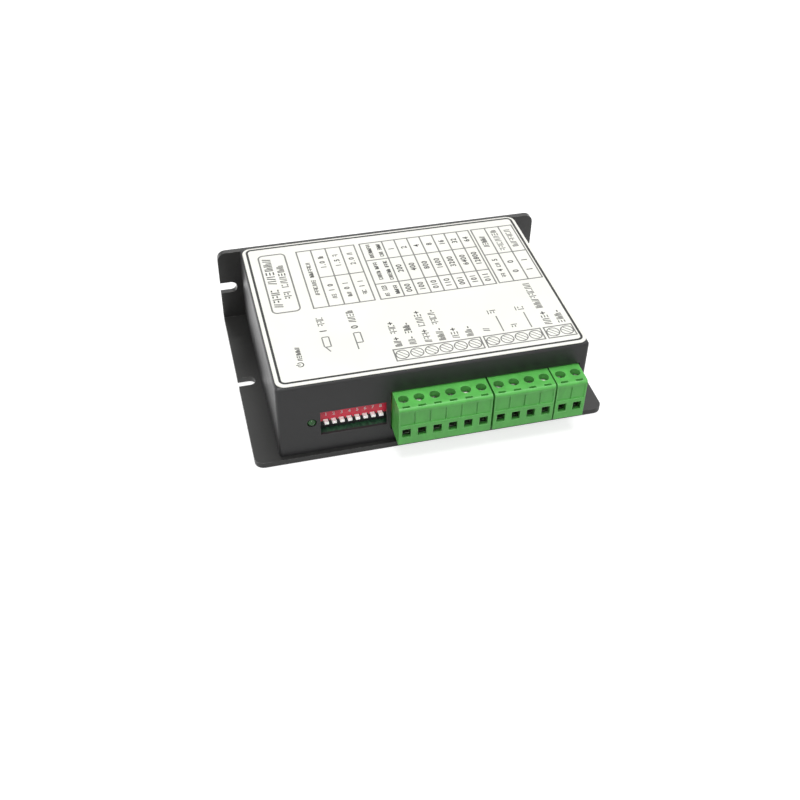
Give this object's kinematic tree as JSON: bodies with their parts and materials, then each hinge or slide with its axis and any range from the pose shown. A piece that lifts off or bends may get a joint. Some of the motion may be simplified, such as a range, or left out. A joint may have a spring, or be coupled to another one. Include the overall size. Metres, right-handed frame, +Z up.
{
  "type": "stepper motor driver module",
  "caption": "Flat stepper motor driver in a black sheet-metal case on a slotted bracket, with pull-out screw terminals, a row of setting switches and a power lamp.",
  "frame": {"origin": "centre of the underside of the base plate", "axes": "+X along the row of terminals, from the lamp end to the two-pole plug; +Y from the terminals to the upright wall; +Z up, away from the base plate"},
  "size_m": [0.118, 0.0874, 0.0308],
  "materials": {
    "bracket_black": "black anodised, satin",
    "cover_black": "fine-textured black powder coat",
    "label_white": "satin self-adhesive film",
    "board_green": "solder-masked glass-fibre board",
    "lamp_green": "tinted clear, unlit",
    "black_plastic": "moulded",
    "red_plastic": "moulded, satin",
    "white_plastic": "moulded",
    "green_plastic": "moulded, satin",
    "plated_steel": "nickel plated",
    "zinc_screw": "zinc plated",
    "black_screw": "blackened steel",
    "pad_grey": "silicone thermal pad",
    "capacitor_sleeve": "shrink sleeve",
    "brass_post": "turned brass"
  },
  "bodies": {
    "root": {"base_bracket": "bracket_black", "cover": "cover_black", "top_label": "label_white", "circuit_board": "board_green", "board_post_1": "brass_post", "board_post_2": "brass_post", "board_post_3": "brass_post", "board_post_4": "brass_post", "power_led": "lamp_green", "dip_base": "black_plastic", "dip_cover": "red_plastic", "header_6p": "green_plastic", "header_4p": "green_plastic", "header_2p": "green_plastic", "driver_chip": "black_plastic", "thermal_pad": "pad_grey", "chip_screw_left": "zinc_screw", "chip_screw_right": "zinc_screw", "bulk_capacitor": "capacitor_sleeve", "logic_chip": "black_plastic", "optocoupler_1": "black_plastic", "optocoupler_2": "black_plastic", "optocoupler_3": "black_plastic", "cover_screw_left": "black_screw", "cover_screw_right": "black_screw"},
    "dip_lever_1": {"dip_lever_1": "white_plastic"},
    "dip_lever_2": {"dip_lever_2": "white_plastic"},
    "dip_lever_3": {"dip_lever_3": "white_plastic"},
    "dip_lever_4": {"dip_lever_4": "white_plastic"},
    "dip_lever_5": {"dip_lever_5": "white_plastic"},
    "dip_lever_6": {"dip_lever_6": "white_plastic"},
    "dip_lever_7": {"dip_lever_7": "white_plastic"},
    "dip_lever_8": {"dip_lever_8": "white_plastic"},
    "plug_6p": {"plug_6p": "green_plastic"},
    "plug_4p": {"plug_4p": "green_plastic"},
    "plug_2p": {"plug_2p": "green_plastic"},
    "clamp_screw_1": {"clamp_screw_1": "plated_steel"},
    "clamp_cage_1": {"clamp_cage_1": "plated_steel"},
    "clamp_screw_2": {"clamp_screw_2": "plated_steel"},
    "clamp_cage_2": {"clamp_cage_2": "plated_steel"},
    "clamp_screw_3": {"clamp_screw_3": "plated_steel"},
    "clamp_cage_3": {"clamp_cage_3": "plated_steel"},
    "clamp_screw_4": {"clamp_screw_4": "plated_steel"},
    "clamp_cage_4": {"clamp_cage_4": "plated_steel"},
    "clamp_screw_5": {"clamp_screw_5": "plated_steel"},
    "clamp_cage_5": {"clamp_cage_5": "plated_steel"},
    "clamp_screw_6": {"clamp_screw_6": "plated_steel"},
    "clamp_cage_6": {"clamp_cage_6": "plated_steel"},
    "clamp_screw_7": {"clamp_screw_7": "plated_steel"},
    "clamp_cage_7": {"clamp_cage_7": "plated_steel"},
    "clamp_screw_8": {"clamp_screw_8": "plated_steel"},
    "clamp_cage_8": {"clamp_cage_8": "plated_steel"},
    "clamp_screw_9": {"clamp_screw_9": "plated_steel"},
    "clamp_cage_9": {"clamp_cage_9": "plated_steel"},
    "clamp_screw_10": {"clamp_screw_10": "plated_steel"},
    "clamp_cage_10": {"clamp_cage_10": "plated_steel"},
    "clamp_screw_11": {"clamp_screw_11": "plated_steel"},
    "clamp_cage_11": {"clamp_cage_11": "plated_steel"},
    "clamp_screw_12": {"clamp_screw_12": "plated_steel"},
    "clamp_cage_12": {"clamp_cage_12": "plated_steel"}
  },
  "joints": [
    {"name": "dip_lever_1_tilt", "type": "hinge", "parent": "root", "child": "dip_lever_1", "pos_m": [-0.03504, -0.033, 0.011], "axis": [1, 0, 0], "range_deg": [0, 20]},
    {"name": "dip_lever_2_tilt", "type": "hinge", "parent": "root", "child": "dip_lever_2", "pos_m": [-0.0325, -0.033, 0.011], "axis": [1, 0, 0], "range_deg": [0, 20]},
    {"name": "dip_lever_3_tilt", "type": "hinge", "parent": "root", "child": "dip_lever_3", "pos_m": [-0.02996, -0.033, 0.011], "axis": [1, 0, 0], "range_deg": [0, 20]},
    {"name": "dip_lever_4_tilt", "type": "hinge", "parent": "root", "child": "dip_lever_4", "pos_m": [-0.02742, -0.033, 0.011], "axis": [1, 0, 0], "range_deg": [0, 20]},
    {"name": "dip_lever_5_tilt", "type": "hinge", "parent": "root", "child": "dip_lever_5", "pos_m": [-0.02488, -0.033, 0.011], "axis": [1, 0, 0], "range_deg": [0, 20]},
    {"name": "dip_lever_6_tilt", "type": "hinge", "parent": "root", "child": "dip_lever_6", "pos_m": [-0.02234, -0.033, 0.011], "axis": [1, 0, 0], "range_deg": [0, 20]},
    {"name": "dip_lever_7_tilt", "type": "hinge", "parent": "root", "child": "dip_lever_7", "pos_m": [-0.0198, -0.033, 0.011], "axis": [1, 0, 0], "range_deg": [0, 20]},
    {"name": "dip_lever_8_tilt", "type": "hinge", "parent": "root", "child": "dip_lever_8", "pos_m": [-0.01726, -0.033, 0.011], "axis": [1, 0, 0], "range_deg": [0, 20]},
    {"name": "plug_6p_slide", "type": "slide", "parent": "root", "child": "plug_6p", "axis": [0, -1, 0], "range_m": [0, 0.02]},
    {"name": "plug_4p_slide", "type": "slide", "parent": "root", "child": "plug_4p", "axis": [0, -1, 0], "range_m": [0, 0.02]},
    {"name": "plug_2p_slide", "type": "slide", "parent": "root", "child": "plug_2p", "axis": [0, -1, 0], "range_m": [0, 0.02]},
    {"name": "clamp_screw_1_turn", "type": "hinge", "parent": "plug_6p", "child": "clamp_screw_1", "pos_m": [-0.01166, -0.04235, 0.019], "axis": [0, 0, -1], "range_deg": [0, 1872]},
    {"name": "clamp_cage_1_rise", "type": "slide", "parent": "plug_6p", "child": "clamp_cage_1", "axis": [0, 0, 1], "range_m": [0, 0.0026]},
    {"name": "clamp_screw_2_turn", "type": "hinge", "parent": "plug_6p", "child": "clamp_screw_2", "pos_m": [-0.00658, -0.04235, 0.019], "axis": [0, 0, -1], "range_deg": [0, 1872]},
    {"name": "clamp_cage_2_rise", "type": "slide", "parent": "plug_6p", "child": "clamp_cage_2", "axis": [0, 0, 1], "range_m": [0, 0.0026]},
    {"name": "clamp_screw_3_turn", "type": "hinge", "parent": "plug_6p", "child": "clamp_screw_3", "pos_m": [-0.0015, -0.04235, 0.019], "axis": [0, 0, -1], "range_deg": [0, 1872]},
    {"name": "clamp_cage_3_rise", "type": "slide", "parent": "plug_6p", "child": "clamp_cage_3", "axis": [0, 0, 1], "range_m": [0, 0.0026]},
    {"name": "clamp_screw_4_turn", "type": "hinge", "parent": "plug_6p", "child": "clamp_screw_4", "pos_m": [0.00358, -0.04235, 0.019], "axis": [0, 0, -1], "range_deg": [0, 1872]},
    {"name": "clamp_cage_4_rise", "type": "slide", "parent": "plug_6p", "child": "clamp_cage_4", "axis": [0, 0, 1], "range_m": [0, 0.0026]},
    {"name": "clamp_screw_5_turn", "type": "hinge", "parent": "plug_6p", "child": "clamp_screw_5", "pos_m": [0.00866, -0.04235, 0.019], "axis": [0, 0, -1], "range_deg": [0, 1872]},
    {"name": "clamp_cage_5_rise", "type": "slide", "parent": "plug_6p", "child": "clamp_cage_5", "axis": [0, 0, 1], "range_m": [0, 0.0026]},
    {"name": "clamp_screw_6_turn", "type": "hinge", "parent": "plug_6p", "child": "clamp_screw_6", "pos_m": [0.01374, -0.04235, 0.019], "axis": [0, 0, -1], "range_deg": [0, 1872]},
    {"name": "clamp_cage_6_rise", "type": "slide", "parent": "plug_6p", "child": "clamp_cage_6", "axis": [0, 0, 1], "range_m": [0, 0.0026]},
    {"name": "clamp_screw_7_turn", "type": "hinge", "parent": "plug_4p", "child": "clamp_screw_7", "pos_m": [0.01952, -0.04235, 0.019], "axis": [0, 0, -1], "range_deg": [0, 1872]},
    {"name": "clamp_cage_7_rise", "type": "slide", "parent": "plug_4p", "child": "clamp_cage_7", "axis": [0, 0, 1], "range_m": [0, 0.0026]},
    {"name": "clamp_screw_8_turn", "type": "hinge", "parent": "plug_4p", "child": "clamp_screw_8", "pos_m": [0.0246, -0.04235, 0.019], "axis": [0, 0, -1], "range_deg": [0, 1872]},
    {"name": "clamp_cage_8_rise", "type": "slide", "parent": "plug_4p", "child": "clamp_cage_8", "axis": [0, 0, 1], "range_m": [0, 0.0026]},
    {"name": "clamp_screw_9_turn", "type": "hinge", "parent": "plug_4p", "child": "clamp_screw_9", "pos_m": [0.02968, -0.04235, 0.019], "axis": [0, 0, -1], "range_deg": [0, 1872]},
    {"name": "clamp_cage_9_rise", "type": "slide", "parent": "plug_4p", "child": "clamp_cage_9", "axis": [0, 0, 1], "range_m": [0, 0.0026]},
    {"name": "clamp_screw_10_turn", "type": "hinge", "parent": "plug_4p", "child": "clamp_screw_10", "pos_m": [0.03476, -0.04235, 0.019], "axis": [0, 0, -1], "range_deg": [0, 1872]},
    {"name": "clamp_cage_10_rise", "type": "slide", "parent": "plug_4p", "child": "clamp_cage_10", "axis": [0, 0, 1], "range_m": [0, 0.0026]},
    {"name": "clamp_screw_11_turn", "type": "hinge", "parent": "plug_2p", "child": "clamp_screw_11", "pos_m": [0.04039, -0.04235, 0.019], "axis": [0, 0, -1], "range_deg": [0, 1872]},
    {"name": "clamp_cage_11_rise", "type": "slide", "parent": "plug_2p", "child": "clamp_cage_11", "axis": [0, 0, 1], "range_m": [0, 0.0026]},
    {"name": "clamp_screw_12_turn", "type": "hinge", "parent": "plug_2p", "child": "clamp_screw_12", "pos_m": [0.04547, -0.04235, 0.019], "axis": [0, 0, -1], "range_deg": [0, 1872]},
    {"name": "clamp_cage_12_rise", "type": "slide", "parent": "plug_2p", "child": "clamp_cage_12", "axis": [0, 0, 1], "range_m": [0, 0.0026]}
  ],
  "couplings": [
    {"joint": "clamp_screw_1_turn", "follows": "clamp_cage_1_rise", "rad_per_m": 12566},
    {"joint": "clamp_screw_2_turn", "follows": "clamp_cage_2_rise", "rad_per_m": 12566},
    {"joint": "clamp_screw_3_turn", "follows": "clamp_cage_3_rise", "rad_per_m": 12566},
    {"joint": "clamp_screw_4_turn", "follows": "clamp_cage_4_rise", "rad_per_m": 12566},
    {"joint": "clamp_screw_5_turn", "follows": "clamp_cage_5_rise", "rad_per_m": 12566},
    {"joint": "clamp_screw_6_turn", "follows": "clamp_cage_6_rise", "rad_per_m": 12566},
    {"joint": "clamp_screw_7_turn", "follows": "clamp_cage_7_rise", "rad_per_m": 12566},
    {"joint": "clamp_screw_8_turn", "follows": "clamp_cage_8_rise", "rad_per_m": 12566},
    {"joint": "clamp_screw_9_turn", "follows": "clamp_cage_9_rise", "rad_per_m": 12566},
    {"joint": "clamp_screw_10_turn", "follows": "clamp_cage_10_rise", "rad_per_m": 12566},
    {"joint": "clamp_screw_11_turn", "follows": "clamp_cage_11_rise", "rad_per_m": 12566},
    {"joint": "clamp_screw_12_turn", "follows": "clamp_cage_12_rise", "rad_per_m": 12566}
  ]
}
